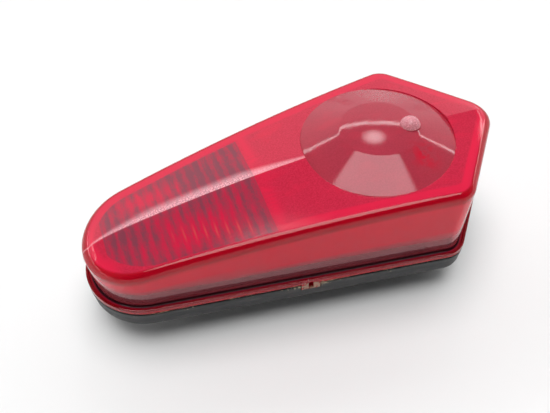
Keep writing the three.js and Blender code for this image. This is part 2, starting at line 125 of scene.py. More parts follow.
def light_ramp(place, stops):
    """Straight lines between pairs of a place from 0 to 1 and a radiance."""
    ramp = tent.nodes.new("ShaderNodeValToRGB")
    tent.links.new(place, ramp.inputs[0])
    while len(ramp.color_ramp.elements) < len(stops):
        ramp.color_ramp.elements.new(0.5)
    for element, (at, level) in zip(ramp.color_ramp.elements, stops):
        element.position = at
        element.color = (level / BRIGHTEST,) * 3 + (1,)
    return ramp.outputs["Color"]


# Rise is the light's height over the sum of its height and its depth. The depth is the cosine of
# its angle to the bar's side plus BOW times its level part, which bows the strips round the lamp.
BOW, LEAST_DEPTH = 0.63, 0.02
height = towards((0, 0, 1))
level_part = combined(world, "SQRT", combined(
    world, "SUBTRACT", 1.0, combined(world, "MULTIPLY", height, height)))
depth = combined(world, "ADD", towards(BAR_SIDE), combined(world, "MULTIPLY", level_part, BOW))
depth = combined(world, "MAXIMUM", depth, LEAST_DEPTH)
rise = combined(world, "DIVIDE", height, combined(world, "ADD", height, depth))
sweep = light_ramp(rise, [
    (0.0, 1.0), (0.335, 0.95), (0.339, 0.1), (0.3455, 0.1), (0.3475, 9.0), (0.359, 9.0),
    (0.3635, 0.26), (0.6, 0.2), (0.9, 0.03),
])
overhead = light_ramp(height, [(0.912, 0.0), (0.925, 5.0)])
small_lamp = light_ramp(towards(Vector((0.282, 0.568, 0.773))), [(0.9988, 0.0), (0.9993, 9.0)])
total = combined(world, "ADD", combined(world, "ADD", sweep, overhead), small_lamp)
background = tent.nodes["Background"]
background.inputs["Strength"].default_value = BRIGHTEST
tent.links.new(total, background.inputs["Color"])

FLAT_R, BEND_R, BEND_TO = 2.2, 0.9, 58
bend = np.radians(np.linspace(0, BEND_TO, 30))
sweep_r = np.concatenate([[0], FLAT_R + BEND_R * np.sin(bend)])[:, None]
sweep_z = np.concatenate([[0], BEND_R * (1 - np.cos(bend))])[:, None]
around = np.radians(np.arange(0, 360, 3))
corners = np.stack([sweep_r * np.cos(around), sweep_r * np.sin(around), sweep_z + 0 * around], 2)
index = np.arange(corners.size // 3).reshape(len(sweep_r), len(around))
beside = np.roll(index, -1, 1)
board = bpy.data.meshes.new("floor_board")
board.from_pydata(corners.reshape(-1, 3), [], np.stack(
    [index[:-1], index[1:], beside[1:], beside[:-1]], 2).reshape(-1, 4).tolist())
board.shade_smooth()
floor = bpy.data.objects.new("floor_board", board)
scene.collection.objects.link(floor)


def finish_of(name, **settings):
    """A new material whose shader sockets take the given values."""
    made = bpy.data.materials.new(name)
    made.use_nodes = True
    shader = made.node_tree.nodes["Principled BSDF"]
    for socket, value in settings.items():
        shader.inputs[socket.replace("_", " ")].default_value = value
    return made


board.materials.append(finish_of("white_board", Base_Color=(0.86, 0.86, 0.86, 1), Roughness=0.9))


# ---- Lens ----
# One hollow moulding of transparent red acrylic: flange, wall, rolled edge, two-sided roof and a
# raised round window over the bulb. Prism bars run across the inside of its narrow part, up to a
# cross wall. Lengths are millimetres along the lamp from its nose, heights from its wall foot.

FLANGE, RIM_DROP = 1.6, 3.3
NOSE_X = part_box("lens")[0].x * 1000 + FLANGE
FOOT_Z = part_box("rear_housing")[1].z * 1000 + RIM_DROP
LAMP = np.array([NOSE_X, 0, FOOT_Z])

# The plan's discs at nose, shoulder and tail: x, y and radius. Then the rolled edge's radius, how
# far inside the outline the roof's inside begins, the roof's thickness, and the wall's draft.
DISCS = ((25, 0, 25), (149.6, 32.8, 10), (172.5, 0, 13.5))
LENGTH, ARC_STEPS = 186, 200
ROLL, INNER, SKIN = 3.2, 6.1, 2.5
WALL_LEAN, WALL_FOOT = 1.2, 0.2

# The window's radii: its foot, where it leaves the roof, and the top circle. Then how far its cone
# and its dome rise, and the radius, slope, rise and drop of the hollow under it.
WINDOW_X, WINDOW_R, BRIM_R, WINDOW_TOP_R = 131.5, 33.2, 33.1, 16.8
WINDOW_RISE, DOME_RISE = 6.3, 1.2
HOLLOW_R, HOLLOW_SLOPE, HOLLOW_RISE, HOLLOW_DROP = 29.2, 0.373, 6.2, 1.2


def outline_table():
    """Half the plan outline, nose to tail: points and outward directions round the discs and
    along their common tangents, with the distance walked."""
    turns = [math.pi]
    for (x0, y0, r0), (x1, y1, r1) in zip(DISCS, DISCS[1:]):
        dx, dy = x1 - x0, y1 - y0
        turns.append(math.atan2(dy, dx) + math.acos((r0 - r1) / math.hypot(dx, dy)))
    turns.append(0.0)
    points, ways = [], []
    for (x, y, r), start, end in zip(DISCS, turns, turns[1:]):
        a = np.linspace(start, end, ARC_STEPS)
        way = np.stack([np.cos(a), np.sin(a)], 1)
        points.append(np.array([x, y]) + r * way)
        ways.append(way)
    points, ways = np.concatenate(points), np.concatenate(ways)
    walked = np.concatenate([[0], np.cumsum(np.linalg.norm(np.diff(points, axis=0), axis=1))])
    return walked, points, ways


WALKED, EDGE_POINTS, EDGE_WAYS = outline_table()


def half_outline(stations, offset):
    """Points of the half outline at the given distances, moved outwards by offset."""
    point = [np.interp(stations, WALKED, EDGE_POINTS[:, k]) for k in (0, 1)]
    way = [np.interp(stations, WALKED, EDGE_WAYS[:, k]) for k in (0, 1)]
    return point[0] + offset * way[0], point[1] + offset * way[1]


def loop(stations, offset):
    """The whole outline: the far half, then its mirror image back to the nose."""
    x, y = half_outline(stations, offset)
    return np.concatenate([x, x[-2:0:-1]]), np.concatenate([y, -y[-2:0:-1]])


def bowed(nose, tail, bow, x):
    """A straight line from nose to tail plus a parabola that is highest in the middle."""
    t = x / LENGTH
    return nose + (tail - nose) * t + 4 * bow * t * (1 - t)


def edge_height(x):
    """Height of the roof's edge: a bowed line from nose to tail."""
    return bowed(17.3, 35.5, 5.8, x)


INNER_ROLL_X, INNER_ROLL_Y = half_outline(WALKED, -ROLL)

# Where along the ridge its land's width is given, and how fast the land falls to its far side.
RIDGE_X = [4, 30, 70, 98, 120, 165]
LAND_SLOPE = 0.058


def roof(x, y):
    """Height of the roof: the edge's height plus a crown that falls in a straight line from the
    ridge to the edge and is rounded off at both ends like a quarter of an ellipse. On the far
    side the ridge has a flat scuffed land."""
    width = np.maximum(np.interp(x, INNER_ROLL_X, INNER_ROLL_Y), 1e-3)
    crown = bowed(2.6, 1.1, 1.45, x)
    u = np.abs(y)
    land = np.interp(x, RIDGE_X, [0.2, 3.6, 3.8, 1.3, 1.0, 0.1])
    dropped = LAND_SLOPE * np.minimum(u, land)
    slope = (crown - LAND_SLOPE * land) / np.maximum(width - land, 1)
    far = 1 - (dropped + slope * np.maximum(u - land, 0)) / crown
    across = np.where(y > 1e-6, far, 1 - u / width)
    across = np.clip(across, 0, 1)
    ends = np.clip(np.minimum((x - ROLL) / 15, (LENGTH - ROLL - x) / 4), 0, 1)
    return edge_height(x) + crown * across * np.sqrt(1 - (1 - ends) ** 2)


def window_plane(x):
    """Height of the window's foot: a straight line that climbs towards the tail."""
    return 35.35 + 0.029 * (x - WINDOW_X)


def soft_least(a, b, softness):
    """The smaller of two values, with the corner between them rounded."""
    return (a + b - np.sqrt((a - b) ** 2 + softness**2)) / 2


def window_rise(r):
    """A cone up to the top circle, where a shallow dome takes over."""
    cone = WINDOW_RISE * (WINDOW_R - r) / (WINDOW_R - WINDOW_TOP_R)
    return soft_least(cone, WINDOW_RISE + DOME_RISE * (1 - (r / WINDOW_TOP_R) ** 2), 0.12)


# Prism bars: pitch, the flat between two, depth and the gap at each end; where they start and
# end, and where the polish and the painted light and shade over them end. Then the cross wall's place,
# half thickness and depth.
BAR_PITCH, BAR_LAND, BAR_DEPTH, BAR_END = 4.2, 0.5, 1.3, 0.9
BAR_FROM, BAR_TO, POLISHED_AND_LIT_TO = 9.5, 76.7, 74.8
WALL_AT, WALL_HALF, WALL_DEEP = 80.5, 0.8, 6
bar_edges = np.arange(BAR_FROM, BAR_TO - 1, BAR_PITCH)
bar_wide = BAR_PITCH - BAR_LAND
bar_steps = np.array(
    [0, 0.06, 0.5 * bar_wide - 0.12, 0.5 * bar_wide + 0.12, bar_wide - 0.06, bar_wide])
BAR_X = (bar_edges[:, None] + bar_steps).ravel()
BAR_Z = np.tile([0, 0.03, BAR_DEPTH - 0.08, BAR_DEPTH - 0.08, 0.03, 0], len(bar_edges))
WALL_X = WALL_AT + np.array([-WALL_HALF - 0.1, -WALL_HALF, WALL_HALF, WALL_HALF + 0.1])


def underside(x, y, inset):
    """Inside of the roof: the skin's thickness under it, raised under the window, with the cross
    wall hanging from it, and the prism bars wherever the inset from the edge is past BAR_END."""
    r = np.hypot(x - WINDOW_X, y)
    cone = soft_least((HOLLOW_R - r) * HOLLOW_SLOPE, HOLLOW_RISE, 0.6)
    recess = window_plane(x) - HOLLOW_DROP + cone
    z = -soft_least(-(roof(x, y) - SKIN), -recess, 0.5)
    bars = np.interp(x, BAR_X, BAR_Z, left=0, right=0)
    cross = np.interp(x, WALL_X, [0, WALL_DEEP, WALL_DEEP, 0], left=0, right=0)
    return z - np.where(inset > BAR_END, bars, 0) - cross


def lens_stations():
    """Distances along the half outline: even steps, finer round the corners, with one at each
    edge of each prism bar, measured on the line where the roof's inside begins."""
    inner_x = half_outline(WALKED, -INNER)[0]
    (nose, _, nose_r), (shoulder, _, shoulder_r), (tail, _, tail_r) = DISCS
    even = np.concatenate([
        nose - (nose_r - INNER) * np.cos(np.radians([0, 1.5, 3, 4.5, 6.5, 9, *np.arange(12, 96, 3)])),
        np.arange(24, 150, 1.3),
        shoulder + (shoulder_r - INNER) * np.cos(np.radians(np.linspace(98, 40, 14))),
        np.arange(153.5, 177, 1.3),
        tail + (tail_r - INNER) * np.cos(np.radians([38, 32, 26, 20, 15, 10, 6, 3, 0])),
    ])
    special = np.concatenate([BAR_X, WALL_X])
    near = np.abs(even[:, None] - special[None]).min(1) < 0.25
    x = np.unique(np.round(np.concatenate([even[~near], special]), 4))
    return np.interp(np.clip(x, inner_x[0], inner_x[-1]), inner_x, WALKED)


STATIONS = lens_stations()


def lens_outside():
    """Rows from the window's middle, down its cone, over the roof and its rolled edge, down the
    wall, round the drip groove and the flange, then up the inside of the wall."""
    edge_x, edge_y = loop(STATIONS, -ROLL)
    turn = np.arctan2(edge_y, edge_x - WINDOW_X)
    rows = []
    for r in [0, 1.2, 2.5, 4, 6, 8, 10, 12, 13.5, 14.8, 15.6, 16.2, 16.5, 16.8, 17.1, 17.4, 18, 19, 21,
              24, 27, 29, 31, 32, 32.6, 32.9, 33.03, 33.1, 33.14, 33.18, 33.22, 33.27, 33.35, 33.45]:
        x, y = WINDOW_X + r * np.cos(turn), r * np.sin(turn)
        step = np.clip((r - BRIM_R) / 0.2, 0, 1)
        step = step * step * (3 - 2 * step)
        low = window_plane(x) + max(window_rise(r), 0)
        rows.append((x, y, low + (roof(x, y) - low) * step))
    start_x, start_y = x, y
    for t in [0.01, 0.03, 0.06, *np.arange(0.1, 0.81, 0.05), 0.84, 0.88, 0.91, 0.94, 0.96, 0.98, 0.99]:
        x, y = start_x + (edge_x - start_x) * t, start_y + (edge_y - start_y) * t
        rows.append((x, y, roof(x, y)))
    for a in np.radians(np.linspace(0, 90, 15)):
        x, y = loop(STATIONS, -ROLL * (1 - math.sin(a)))
        rows.append((x, y, edge_height(x) - ROLL * (1 - math.cos(a))))
    for share in (0.03, 0.08, 0.15, 0.25, 0.4, 0.6, 0.75, 0.85, 0.92, 0.97):
        x, y = loop(STATIONS, -WALL_LEAN * share)
        rows.append((x, y, WALL_FOOT + (edge_height(x) - ROLL - WALL_FOOT) * (1 - share)))
    for offset, z in [(-WALL_LEAN, WALL_FOOT), (-1.18, -0.5), (-1.0, -0.95), (-0.8, -1.0), (0.1, -1.0),
                      (0.28, -0.85), (0.4, -0.15), (0.5, 0), (1.2, 0), (1.42, -0.06), (1.56, -0.2),
                      (1.6, -0.4), (1.6, -2.3), (1.52, -2.45), (1.4, -2.5), (-3.4, -2.5), (-3.7, -2.3),
                      (-3.7, 1), (-3.7, 5)]:
        x, y = loop(STATIONS, offset)
        rows.append((x, y, z + 0 * x))
    for offset, drop in [(-3.7, 8.5), (-3.72, 7), (-3.9, 5.6), (-4.3, 4.3), (-5, 3.2)]:
        x, y = loop(STATIONS, offset)
        rows.append((x, y, edge_height(x) - drop))
    x, y = loop(STATIONS, -INNER)
    rows.append((x, y, underside(x, y, 0 * x)))
    return np.array(rows).transpose(0, 2, 1)


def lens_inside():
    """The inside of the roof, woven from the far edge to the near edge at each station: four
    points close to the edge, then even shares of the way to the middle, and the same mirrored."""
    x, width = half_outline(STATIONS, -INNER)
    most = np.maximum(width, 0)[:, None]
    last = np.minimum(0.94, most)
    inset = np.concatenate([
        np.minimum([0, 0.45, 0.88, 0.94], most), last + (most - last) * np.linspace(0, 1, 30)[1:]], 1)
    y = most - inset
    y = np.concatenate([y, -y[:, -2::-1]], 1)
    inset = np.concatenate([inset, inset[:, -2::-1]], 1)
    x = np.repeat(x[:, None], y.shape[1], 1)
    return np.stack([x, y, underside(x, y, inset)], 2)


def solid(name, patches):
    """A closed mesh in metres from grids of points in millimetres from the lamp's nose and wall
    foot. A grid marked True is joined round its columns. Doubles merge, faces turn outwards."""
    points, faces, start = [], [], 0
    for grid, wrapped in patches:
        rows, columns = grid.shape[:2]
        index = start + np.arange(rows * columns).reshape(rows, columns)
        if wrapped:
            index = np.concatenate([index, index[:, :1]], 1)
        faces.append(np.stack(
            [index[:-1, :-1], index[:-1, 1:], index[1:, 1:], index[1:, :-1]], 2
        ).reshape(-1, 4))
        points.append(grid.reshape(-1, 3))
        start += rows * columns
    points = (np.concatenate(points) + LAMP) * 0.001
    mesh = bpy.data.meshes.new(name)
    mesh.from_pydata(points, [], np.concatenate(faces).tolist())
    work = bmesh.new()
    work.from_mesh(mesh)
    bmesh.ops.remove_doubles(work, verts=work.verts, dist=2e-6)
    bmesh.ops.dissolve_degenerate(work, edges=work.edges, dist=1e-7)
    bmesh.ops.recalc_face_normals(work, faces=work.faces)
    work.to_mesh(mesh)
    work.free()
    piece = bpy.data.objects.new(name, mesh)
    scene.collection.objects.link(piece)
    return piece


def joined(piece, operation, *tools):
    """The piece with the tools added to it or cut from it."""
    for tool in tools:
        modifier = piece.modifiers.new("join", "BOOLEAN")
        modifier.operation = operation
        modifier.solver = "MANIFOLD"
        modifier.object = tool
        graph = bpy.context.evaluated_depsgraph_get()
        mesh = bpy.data.meshes.new_from_object(piece.evaluated_get(graph))
        piece.modifiers.clear()
        piece.data = mesh
        bpy.data.objects.remove(tool)
    return piece


def rounded_block(name, centre, half, radius, turn=0.0, steps=7):
    """A block with rounded edges: every direction of a ball, scaled by the radius and pushed out
    to the nearest corner of a smaller block."""
    around = np.radians(np.arange(4 * steps) * 90 / steps + 45 / steps)
    climb = np.concatenate([
        np.linspace(-90, -90 / steps / 2, steps), np.linspace(90 / steps / 2, 90, steps)
    ])
    a, c = np.meshgrid(around, np.radians(climb))
    way = np.stack([np.cos(c) * np.cos(a), np.cos(c) * np.sin(a), np.sin(c)], 2)
    corner = np.sign(way) * (np.array(half) - radius)
    p = corner + way * radius
    low = np.concatenate([p[:1] * 0 + [0, 0, -half[2]], p, p[:1] * 0 + [0, 0, half[2]]])
    x, y = low[..., 0].copy(), low[..., 1].copy()
    low[..., 0] = x * math.cos(turn) - y * math.sin(turn)
    low[..., 1] = x * math.sin(turn) + y * math.cos(turn)
    return solid(name, [(low + np.array(centre), True)])


def revolved(name, profile, centre, segments=96, along=(0, 0, 1)):
    """A closed profile of radius and height, carried round the axis that starts at centre and
    runs along X, Y or Z."""
    a = np.linspace(0, 2 * np.pi, segments, endpoint=False)[:, None]
    side = np.roll(along, 1)
    ring = np.cos(a) * side + np.sin(a) * np.cross(along, side)
    r, h = np.array([*profile, profile[0]], float).T[..., None, None]
    return solid(name, [(np.array(centre) + r * ring + h * np.array(along), True)])


lens = solid("lens_shell", [(lens_outside(), True), (lens_inside(), False)])

BEAD_AT, BEAD_R = (144.5, -3.5, 41.3), 4.6
ball = np.radians(np.linspace(-90, 90, 40))
bead = revolved("bead", list(zip(BEAD_R * np.cos(ball), BEAD_R * np.sin(ball))), BEAD_AT, 64)

DRAIN_X = 87.5
flank_x, flank_y = half_outline(np.interp(DRAIN_X, EDGE_POINTS[:, 0], WALKED), 0)
flank_way = EDGE_WAYS[ARC_STEPS]
FLANK_OUT = flank_way * (1, -1)
FLANK_TURN = math.atan2(*flank_way)
FLANK_AT = np.array([float(flank_x), -float(flank_y)])


def on_flank(name, out, z, half, radius):
    """A block at the drain's place, square to the near flank, so far outside its wall foot."""
    return rounded_block(name, (*(FLANK_AT + out * FLANK_OUT), z), half, radius, FLANK_TURN)


drain_tab = on_flank("drain_tab", 0.4, -3.8, (4.25, 1.2, 2.3), 0.4)
drain_slot = on_flank("drain_slot", 0, -3.3, (1.1, 6, 2), 0.4)
lens = joined(lens, "UNION", bead, drain_tab)
lens = joined(lens, "DIFFERENCE", drain_slot)


def smooth(piece, degrees=25):
    """Smooth shading, with a sharp edge where two faces meet at more than the angle."""
    piece.data.shade_smooth()
    piece.data.set_sharp_from_angle(angle=math.radians(degrees))


smooth(lens, 8)


def own_place(made):
    """The piece's own coordinates, in metres."""
    nodes = made.node_tree.nodes
    return (nodes.get("Texture Coordinate") or nodes.new("ShaderNodeTexCoord")).outputs["Object"]


def pattern(made, scale, turn=(0, 0, 0), kind="Noise", output=0, **inputs):
    """A procedural texture in the piece's own coordinates, measured in millimetres and
    stretched by scale."""
    nodes, links = made.node_tree.nodes, made.node_tree.links
    mapping = nodes.new("ShaderNodeMapping")
    mapping.inputs["Scale"].default_value = [1000 * s for s in scale]
    mapping.inputs["Rotation"].default_value = turn
    links.new(own_place(made), mapping.inputs["Vector"])
    texture = nodes.new("ShaderNodeTex" + kind)
    for socket, value in {"Scale": 1.0, **inputs}.items():
        texture.inputs[socket].default_value = value
    links.new(mapping.outputs[0], texture.inputs["Vector"])
    return texture.outputs[output]


def remapped(made, source, low, high, to_low=0, to_high=1):
    """Stretches the part of a pattern between low and high to a new range."""
    node = made.node_tree.nodes.new("ShaderNodeMapRange")
    names = ("From Min", "From Max", "To Min", "To Max")
    for socket, value in zip(names, (low, high, to_low, to_high)):
        node.inputs[socket].default_value = value
    made.node_tree.links.new(source, node.inputs["Value"])
    return node.outputs[0]


def plus(made, base, source, weight):
    """A pattern with another one, times its weight, added to it."""
    return combined(made, "ADD", base, combined(made, "MULTIPLY", source, weight))


def layered(made, factor, under, over):
    """A colour over another; each is a colour or a socket."""
    node = made.node_tree.nodes.new("ShaderNodeMix")
    node.data_type = "RGBA"
    for socket, value in (("A", under), ("B", over)):
        if isinstance(value, tuple):
            node.inputs[socket].default_value = (*value, 1)
        else:
            made.node_tree.links.new(value, node.inputs[socket])
    made.node_tree.links.new(factor, node.inputs["Factor"])
    return node.outputs["Result"]


def into(made, source, socket):
    """Feeds a pattern or a colour to one of the finish's sockets."""
    made.node_tree.links.new(source, made.node_tree.nodes["Principled BSDF"].inputs[socket])


def relief(made, *layers):
    """Bumps laid over each other; each layer is a pattern and its height in millimetres."""
    last = None
    for source, height in layers:
        node = made.node_tree.nodes.new("ShaderNodeBump")
        node.inputs["Distance"].default_value = height * 0.001
        made.node_tree.links.new(source, node.inputs["Height"])
        if last is not None:
            made.node_tree.links.new(last, node.inputs["Normal"])
        last = node.outputs[0]
    into(made, last, "Normal")


def belongs(piece, material, body, slot, *nodes):
    """Gives a piece its finish, the body it moves with and the parts it stands for; the slot is not used.
    """
    piece.data.materials.clear()
    piece.data.materials.append(material)
    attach(piece, body)
    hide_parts(*nodes)


def sealant_traces(x, y):
    """How much old sealant has smeared here: a bell beside the drain tab, and a little elsewhere."""
    return (y < 0) * np.exp(-(((x - DRAIN_X) / 7) ** 2)) + 0.25


def lens_finish(points):
    """Numbers for each point. Barred: over the prism bars, where the acrylic is polished and its colour
    holds the painted light and shade of the bars. Clear: low on the wall and a little in the window.
    Scuffed highlight: the ridge's land and the top of the bead, roughened and painted pale as a
    highlight. Groove shade: the drip groove, painted near black as shade. Upright: the wall. Roll and
    flange shade: the thick rolled edge and the flange, painted the darkest red as shade. Edge lit: the
    band inside the roof's edge that the wall lights. Glow and glint: where light comes back up through
    the bars, softly and in single flashes. Flare: a bright patch behind the window. Residue: traces of
    sealant low on the flange. Each is a bell or a ramp across x and y, or holds between two heights."""
    x, y, z = points.T
    rim_x, rim_y = loop(np.linspace(0, WALKED[-1], 500), 0)
    way_x, way_y = loop(np.linspace(0, WALKED[-1], 500), 1)
    nearest = ((x[:, None] - rim_x) ** 2 + (y[:, None] - rim_y) ** 2).argmin(1)
    out = ((x - rim_x[nearest]) * (way_x - rim_x)[nearest]
           + (y - rim_y[nearest]) * (way_y - rim_y)[nearest])
    top = z > edge_height(x) - 1.5
    margin = np.where(y < 0, np.interp(x, [8, 15, 26], [7.5, 6.2, 3.3]), 6.8)
    barred = np.where(top, -out - margin, -5)
    low_wall = np.clip((11 - z) / 4, 0, 1) * (z > -0.5)
    window = (np.hypot(x - WINDOW_X, y) < BRIM_R) & top
    land = np.interp(x, RIDGE_X, [0.4, 3.6, 3.8, 1.3, 1.0, 0.4])
    ridge = np.clip(1.5 - y / land, 0, 1) * (y > -0.01) * top * (~window)
    ridge = ridge * np.interp(x, RIDGE_X, [0.7, 0.85, 0.85, 0.4, 0.25, 0])
    cap = np.clip(BEAD_R + 0.4 - np.linalg.norm(points - BEAD_AT, axis=1), 0, 1)
    roll = np.clip((out + 3.1) / 0.8, 0, 1) * np.clip((z - edge_height(x) + 5.5) / 1.5, 0, 1)
    edge_lit = np.clip((out + 6.9) / 0.8, 0, 1) * np.clip(
        np.where(y > 0, 1, np.maximum((x - 76) / 3, (15 - x) / 5)), 0, 1)
    edge_lit = top * np.maximum(edge_lit, np.exp(-(((x - 77.8) / 2.2) ** 2)))
    glow = (np.exp(-(((x - 45) / 17) ** 2) - ((y + 15) / 8.5) ** 2)
            + 0.7 * np.exp(-(((x - 30) / 14) ** 2) - ((y - 11) / 5) ** 2))
    glint = np.exp(-(((y + 13.6 + 0.31 * (x - 39)) / 3) ** 2)) * np.clip((70 - x) / 6, 0, 1)
    return {
        "edge_lit": edge_lit,
        "glow": glow * top,
        "glint": glint * np.clip((x - 34) / 6, 0, 1) * top,
        "barred": barred,
        "clear": np.maximum(0.8 * low_wall, 0.3 * window),
        # Painted highlight with real roughness: the ridge's land and the top of the bead are roughened
        # and painted pale.
        "scuffed_highlight": np.maximum(ridge, 1.8 * cap * (z > BEAD_AT[2] + 1.5)),
        "flare": window * np.exp(-(((x - 143) / 5) ** 2) - ((y + 20) / 5) ** 2),
        "residue": (z < -1.5) * (out > 0.9) * sealant_traces(x, y),
        # Painted shade: the drip groove is painted near black for the shade that fills it.
        "groove_shade": (z < 0.25) * (z > -1.2) * (out < 0.05) * 1.0,
        "upright": (z < edge_height(x) - 2.5) * (z > -0.5) * (out < 0.3) * 1.0,
        # Painted shade: the rolled edge and the flange are painted a darker red for the shade they show.
        "roll_and_flange_shade": np.maximum(roll, (z < 0.1) * (out > 0.05)),
    }


def hold(piece, name, values):
    """Keeps one number per point on the mesh for its material to read."""
    layer = piece.data.attributes.new(name, "FLOAT", "POINT")
    layer.data.foreach_set("value", np.asarray(values, np.float32))


def lamp_points(piece):
    """The piece's points in millimetres from the lamp's nose and wall foot."""
    flat = np.empty(len(piece.data.vertices) * 3)
    piece.data.vertices.foreach_get("co", flat)
    return flat.reshape(-1, 3) * 1000 - LAMP


for name, values in lens_finish(lamp_points(lens)).items():
    hold(lens, name, values)


def held(made, name):
    """Reads a number that the points hold."""
    node = made.node_tree.nodes.new("ShaderNodeAttribute")
    node.attribute_name = name
    return node.outputs["Fac"]


def between(made, low, high):
    """One inside a stretch of the lamp's length, and nothing outside it."""
    split = made.node_tree.nodes.new("ShaderNodeSeparateXYZ")
    made.node_tree.links.new(own_place(made), split.inputs[0])
    start = remapped(made, split.outputs["X"], low * 0.001, (low + 0.5) * 0.001)
    end = remapped(made, split.outputs["X"], high * 0.001, (high + 0.5) * 0.001, 1, 0)
    return combined(made, "MULTIPLY", start, end)


acrylic = finish_of("red_acrylic", IOR=1.49, Specular_IOR_Level=0.3)
scratches = pattern(acrylic, (0.25, 3, 0.5), (0.2, 0.1, 0.5), Detail=6.0)
stipple = pattern(acrylic, (1.6, 1.6, 1.6), Detail=3.0)
grain = pattern(acrylic, (1.5, 0.9, 1), Detail=4.0)
zones = pattern(acrylic, (0.06, 0.05, 0.05), Detail=3.0)
streaks = pattern(acrylic, (0.9, 0.16, 0.2), Detail=5.0)
ribs = pattern(acrylic, (1, 1, 1), kind="Wave", output=1, Scale=0.0748, Distortion=0.6, Detail=1.0)
cloud = pattern(acrylic, (0.08, 0.14, 0.1), Detail=5.0)
patch = pattern(acrylic, (0.22, 0.22, 0.22), Detail=3.0)
crust = pattern(acrylic, (0.8, 0.8, 0.8), Detail=6.0)
clear, groove_shade = held(acrylic, "clear"), held(acrylic, "groove_shade")
barred = combined(
    acrylic, "MULTIPLY", remapped(acrylic, held(acrylic, "barred"), 0, 0.5),
    between(acrylic, NOSE_X + BAR_FROM, NOSE_X + POLISHED_AND_LIT_TO),
)
# Scuffed and painted highlight: rough, speckled, and painted pale where the highlight lies.
scuff_and_highlight = combined(
    acrylic, "MULTIPLY", held(acrylic, "scuffed_highlight"), remapped(acrylic, stipple, 0.4, 0.6, 0.75, 1))
flare = combined(acrylic, "MULTIPLY", held(acrylic, "flare"), remapped(acrylic, patch, 0.42, 0.55))
crust = plus(acrylic, crust, held(acrylic, "residue"), 0.4)

# Painted light and shade over the prism bars: a dark purple-grey where they look dark, and a bright red,
# laid out by zones, streaks, ribs, grain and the glow, where light comes back up through them. The flash
# paints single glints along the ribs.
lit = combined(acrylic, "MULTIPLY", zones, 0.35)
for source, weight in ((streaks, 0.45), (ribs, 0.16), (grain, 0.3), (held(acrylic, "glow"), 0.26)):
    lit = plus(acrylic, lit, source, weight)
lit = remapped(acrylic, lit, 0.56, 0.9)
bars = layered(acrylic, lit, (0.38, 0.075, 0.125), (1.0, 0.018, 0.095))
flash = combined(
    acrylic, "MULTIPLY", remapped(acrylic, ribs, 0.86, 0.99), held(acrylic, "glint"))
bars = layered(acrylic, flash, bars, (1.0, 0.1, 0.12))

colour = layered(
    acrylic, remapped(acrylic, stipple, 0.35, 0.65), (0.7, 0.02, 0.065), (0.86, 0.032, 0.095))
for factor, over in (
    (remapped(acrylic, cloud, 0.55, 0.75, 0, 0.7), (0.98, 0.02, 0.08)),
    (held(acrylic, "edge_lit"), (1.0, 0.02, 0.085)),
    (held(acrylic, "upright"), (0.96, 0.003, 0.04)),
    (clear, (0.42, 0.15, 0.18)),
    # Painted shade on the rolled edge and the flange: a darker red.
    (held(acrylic, "roll_and_flange_shade"), (0.58, 0.002, 0.018)),
    (barred, bars),
    # Painted highlight: pale pink on the rough ridge land and the top of the bead.
    (scuff_and_highlight, (1.0, 0.5, 0.56)),
    # Painted shade in the drip groove: near black, and less light passes there.
    (groove_shade, (0.035, 0.006, 0.012)),
    (flare, (1.0, 0.006, 0.05)),
    (remapped(acrylic, crust, 0.8, 0.9, 0, 0.85), (0.5, 0.36, 0.24)),
):
    colour = layered(acrylic, factor, colour, over)
into(acrylic, colour, "Base Color")

through = remapped(acrylic, clear, 0, 1, 0.38, 0.78)
for source, weight in ((barred, 0.12), (scuff_and_highlight, -0.3), (groove_shade, -0.35)):
    through = combined(acrylic, "ADD", through, remapped(acrylic, source, 0, 1, 0, weight))
into(acrylic, through, "Transmission Weight")
rough = combined(acrylic, "ADD", remapped(acrylic, scratches, 0.45, 0.75, 0.03, 0.1),
                 remapped(acrylic, scuff_and_highlight, 0, 1, 0, 0.3))
into(acrylic, rough, "Roughness")
relief(acrylic, (scratches, 0.005), (stipple, 0.008))
belongs(lens, acrylic, "lamp_body", "red_lens", "lens")


# ---- Weld bead ----
# Flash and old sealant squeezed out between the lens flange and the housing rim, tan and crumbly,
# thickest beside the drain tab. It stops at both sides of the tab.

fine = np.linspace(0, WALKED[-1], 420)
round_x, round_y = loop(fine, 0)
beyond_x, beyond_y = loop(fine, 1)
tab_gap = (np.abs(round_x - flank_x) < 4.9) & (round_y < 0)
first = np.flatnonzero(tab_gap)[-1] + 1
order = np.r_[first : len(round_x), 0 : np.flatnonzero(tab_gap)[0]]
way_x, way_y = (beyond_x - round_x)[order], (beyond_y - round_y)[order]


def capped(grid):
    """A tube closed at both ends by a ring of points drawn together in each end's middle."""
    ends = grid[[0, -1]].mean(1, keepdims=True) + 0 * grid[[0, -1]]
    return np.concatenate([ends[:1], grid, ends[1:]])


def weld_bead():
    """A flattened band whose outer face swells and dips in slow and quick waves."""
    walk = np.arange(len(order)) * 1.0
    noise = np.random.default_rng(4)
    slow, quick = (
        np.convolve(noise.normal(size=len(order) + n), np.hanning(n + 1), "valid") for n in (24, 5)
    )
    out = 1.15 + 0.16 * slow / slow.std() + 0.1 * quick / quick.std()
    out = np.clip(out + 0.35 * np.exp(-np.minimum(walk, walk[::-1]) / 14), 0.7, 1.75)
    rows = []
    for share, z in [(0, -3.3), (0.8, -3.28), (1, -3.05), (1, -2.75), (0.85, -2.52), (0, -2.5)]:
        offset = -0.8 + (out + 0.8) * share
        rows.append(np.stack([
            round_x[order] + offset * way_x, round_y[order] + offset * way_y, z + 0 * offset
        ], 1))
    return capped(np.array([*rows, rows[0]]).transpose(1, 0, 2))


